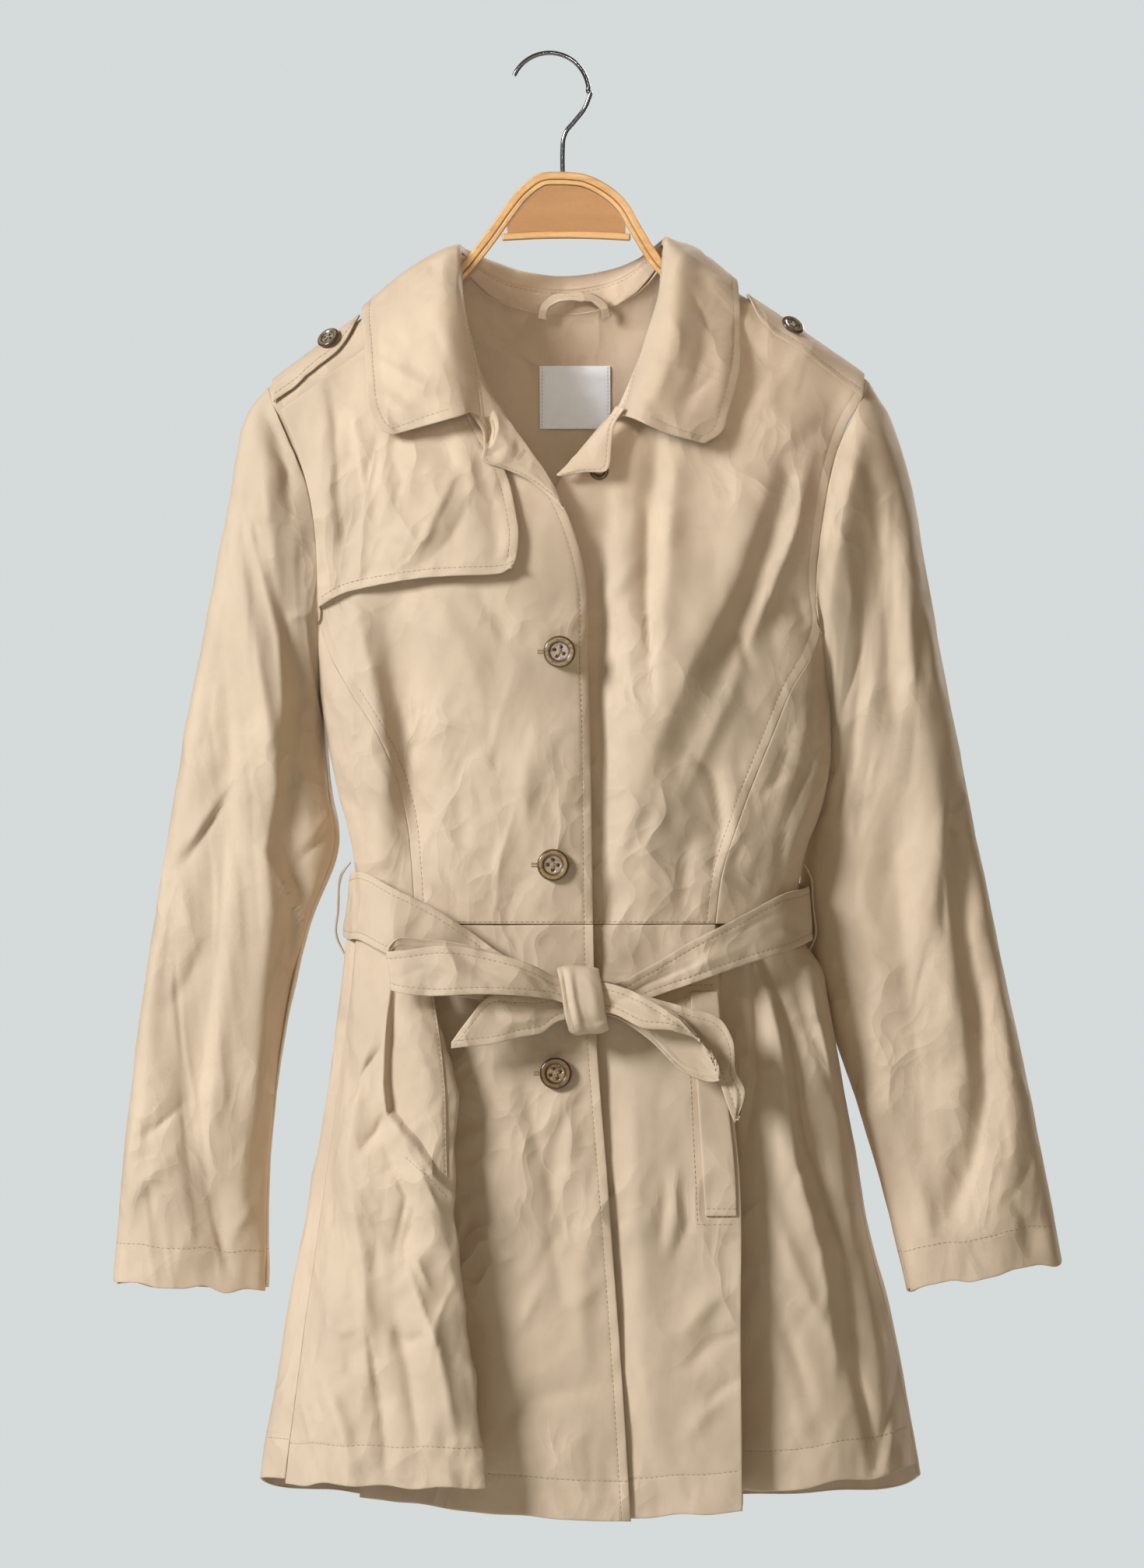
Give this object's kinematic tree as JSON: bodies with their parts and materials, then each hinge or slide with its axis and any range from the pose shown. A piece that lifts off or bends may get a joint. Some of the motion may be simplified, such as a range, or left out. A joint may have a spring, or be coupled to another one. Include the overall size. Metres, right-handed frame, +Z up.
{
  "type": "trench coat on a wooden hanger",
  "caption": "Short flared single-breasted trench coat for a teenager, with a storm flap, epaulettes and a tie belt in a bow, hanging buttoned on a bent-wood hanger.",
  "frame": {"origin": "inside top of the hanger's hook, where a rail carries it", "axes": "+Z up, +X to the wearer's left, -Y to the front of the coat"},
  "size_m": [0.5952, 0.1321, 0.9207],
  "materials": {
    "beige_cotton": "dense cotton twill, matt with a faint sheen",
    "white_tape": "blank woven satin tape",
    "horn_button": "mottled imitation horn, polished",
    "pale_beech": "satin varnish",
    "brown_board": "satin varnish",
    "chrome_wire": "polished"
  },
  "bodies": {
    "root": {"front_right": "beige_cotton", "front_left": "beige_cotton", "side_right": "beige_cotton", "side_left": "beige_cotton", "back": "beige_cotton", "skirt_front_right": "beige_cotton", "skirt_front_left": "beige_cotton", "skirt_side_right": "beige_cotton", "skirt_side_left": "beige_cotton", "skirt_back": "beige_cotton", "sleeve_right_upper": "beige_cotton", "sleeve_right_under": "beige_cotton", "sleeve_left_upper": "beige_cotton", "sleeve_left_under": "beige_cotton", "collar_stand": "beige_cotton", "collar_fall": "beige_cotton", "stand_end_right": "beige_cotton", "stand_end_left": "beige_cotton", "storm_flap": "beige_cotton", "epaulette_right": "beige_cotton", "epaulette_left": "beige_cotton", "pocket_welt_right": "beige_cotton", "pocket_welt_left": "beige_cotton", "belt_round": "beige_cotton", "belt_bow_loop_right": "beige_cotton", "belt_bow_loop_left": "beige_cotton", "belt_tail_right": "beige_cotton", "belt_tail_left": "beige_cotton", "belt_knot": "beige_cotton", "belt_carrier_right": "beige_cotton", "belt_carrier_left": "beige_cotton", "hanging_loop": "beige_cotton", "neck_label": "white_tape", "button_front_1": "horn_button", "button_front_2": "horn_button", "button_front_3": "horn_button", "button_epaulette_right": "horn_button", "button_epaulette_left": "horn_button", "button_collar": "horn_button", "hanger_rim": "pale_beech", "hanger_bar": "pale_beech", "hanger_board": "brown_board", "hanger_hook": "chrome_wire"}
  },
  "joints": []
}
